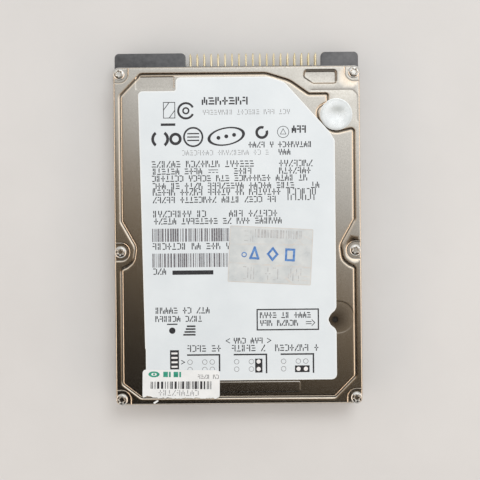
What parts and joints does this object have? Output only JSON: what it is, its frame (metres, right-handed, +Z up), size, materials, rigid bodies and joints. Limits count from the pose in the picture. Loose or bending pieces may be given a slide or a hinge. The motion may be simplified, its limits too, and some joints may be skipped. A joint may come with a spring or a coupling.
{
  "type": "hard disk drive",
  "caption": "Slim laptop hard disk drive with a screwed stamped cover, a spinning platter, a swinging head arm and a pin header.",
  "frame": {"origin": "centre of the underside", "axes": "+X across the width, +Y along the length towards the pin header, +Z up towards the label"},
  "size_m": [0.0698, 0.1002, 0.0095],
  "materials": {
    "casting": "cast, satin",
    "cover_steel": "nickel-plated, fine satin",
    "rubber": "matte",
    "screw_steel": "plated",
    "label_paper": "satin coated paper with dark print",
    "sticker_paper": "matte paper with dark print",
    "faded_film": "worn translucent film",
    "seal_foil": "translucent foil",
    "board_green": "solder mask",
    "chip_black": "moulded epoxy",
    "component_ceramic": "fired",
    "insulator_film": "thin film",
    "connector_black": "glass-filled nylon",
    "guard_black": "satin moulded",
    "pin_gold": "gold flash over nickel",
    "bright_aluminium": "machined",
    "steel": "ground",
    "lamination": "coated laminations",
    "copper": "enamelled copper winding",
    "bronze": "bearing bronze",
    "amber_film": "polyimide",
    "magnet_plate": "nickel-plated",
    "mirror_disk": "polished",
    "ivory_plastic": "acetal",
    "slider_ceramic": "lapped",
    "filter_felt": "felt"
  },
  "bodies": {
    "base": {"base_casting": "casting", "top_cover": "cover_steel", "cover_gasket": "rubber", "cover_screws": "screw_steel", "cover_label": "label_paper", "port_seal": "seal_foil", "asset_sticker": "sticker_paper", "film_sticker": "faded_film", "breather_filter": "filter_felt", "circuit_board": "board_green", "board_screws": "screw_steel", "controller_chip": "chip_black", "motor_driver_chip": "chip_black", "memory_chip": "chip_black", "flash_chip": "chip_black", "board_components": "component_ceramic", "board_insulator": "insulator_film", "head_connector": "connector_black", "header_body": "connector_black", "header_pins": "pin_gold", "connector_guard": "guard_black", "motor_bracket": "bright_aluminium", "spindle_sleeve": "bronze", "thrust_cap": "steel", "stator_core": "lamination", "stator_coils": "copper", "motor_flex": "amber_film", "lower_yoke": "magnet_plate", "upper_yoke": "magnet_plate", "lower_magnet": "magnet_plate", "upper_magnet": "magnet_plate", "yoke_posts": "steel", "yoke_screws": "screw_steel", "crash_stops": "rubber", "pivot_shaft": "steel", "pivot_screw": "screw_steel", "load_ramp": "ivory_plastic", "flex_bracket": "ivory_plastic", "chamber_screws": "screw_steel", "head_flex_cable": "amber_film", "latch_post": "steel", "recirculation_filter": "filter_felt", "desiccant_pack": "filter_felt"},
    "spindle": {"rotor_hub": "bright_aluminium", "rotor_magnet": "lamination", "spindle_shaft": "steel", "platter": "mirror_disk", "disk_clamp": "bright_aluminium", "clamp_screws": "screw_steel"},
    "actuator": {"arm_block": "bright_aluminium", "coil_frame": "ivory_plastic", "voice_coil": "copper", "pivot_sleeve": "steel", "pivot_bearings": "steel", "lower_suspension": "steel", "upper_suspension": "steel", "lower_slider": "slider_ceramic", "upper_slider": "slider_ceramic", "preamp_chip": "chip_black"},
    "latch": {"inertia_latch": "chip_black"}
  },
  "joints": [
    {"name": "spindle_spin", "type": "hinge", "parent": "base", "child": "spindle", "pos_m": [0, -0.0156, 0.0057], "axis": [0, 0, 1], "continuous": true},
    {"name": "actuator_swing", "type": "hinge", "parent": "base", "child": "actuator", "pos_m": [0.017, 0.0215, 0.006], "axis": [0, 0, 1], "range_deg": [0, 33.5]},
    {"name": "latch_swing", "type": "hinge", "parent": "base", "child": "latch", "pos_m": [0.0284, 0.0362, 0.006], "axis": [0, 0, 1], "range_deg": [0, 8]}
  ]
}
